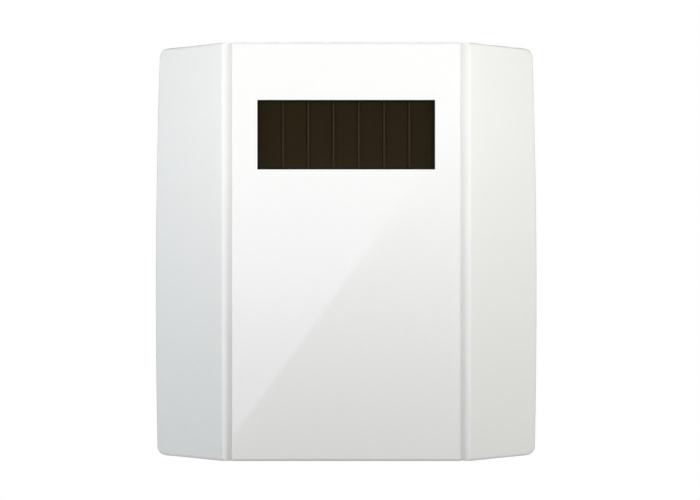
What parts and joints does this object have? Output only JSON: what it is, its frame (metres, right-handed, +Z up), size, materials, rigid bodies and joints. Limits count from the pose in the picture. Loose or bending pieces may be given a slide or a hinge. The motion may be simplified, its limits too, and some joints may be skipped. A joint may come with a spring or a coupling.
{
  "type": "room sensor",
  "caption": "Slim wall-mounted room sensor: a flat centre panel between two sloping wings, with a recessed solar strip near the top that powers it.",
  "frame": {"origin": "middle of the flat wall face, on the wall's plane", "axes": "+Y into the wall, +Z up, +X to the right as seen from the room; the front panel faces -Y"},
  "size_m": [0.094, 0.032, 0.1],
  "materials": {
    "cover_white": "white gloss moulded plastic",
    "base_white": "white satin moulded plastic",
    "clear_glass": "clear, polished",
    "solar_brown": "dark brown thin film behind glass",
    "backing_film": "black film",
    "grey_foam": "soft grey foam",
    "carrier_black": "black satin moulded plastic",
    "board_green": "green solder mask",
    "radio_green": "dark green solder mask",
    "tinned_metal": "tinned, satin",
    "antenna_metal": "plated strip, satin",
    "can_metal": "plated can, satin",
    "package_black": "black moulding compound",
    "bead_epoxy": "dark epoxy drop",
    "capacitor_tan": "tan ceramic",
    "plunger_red": "red moulded plastic",
    "light_lens": "milky lens"
  },
  "bodies": {
    "housing": {"front_cover": "cover_white", "wall_base": "base_white", "solar_glass": "clear_glass", "solar_cells": "solar_brown", "solar_backing_film": "backing_film", "foam_pad": "grey_foam", "module_carrier": "carrier_black", "solar_leads": "tinned_metal", "circuit_board": "board_green", "temperature_bead": "bead_epoxy", "temperature_leads": "tinned_metal", "radio_board": "radio_green", "radio_shield": "tinned_metal", "antenna": "antenna_metal", "energy_store": "can_metal", "learn_switch_base": "package_black", "learn_switch_frame": "tinned_metal", "learn_switch_dome": "tinned_metal", "status_light": "light_lens", "charge_controller": "package_black", "charge_controller_leads": "tinned_metal", "resistors": "package_black", "capacitors": "capacitor_tan", "diodes": "package_black"},
    "learn_button": {"learn_switch_plunger": "plunger_red"}
  },
  "joints": [
    {"name": "learn_button_press", "type": "slide", "parent": "housing", "child": "learn_button", "axis": [0, 1, 0], "range_m": [0, 0.00025], "stiffness_N_per_m": 1000, "springref_m": -0.001}
  ]
}
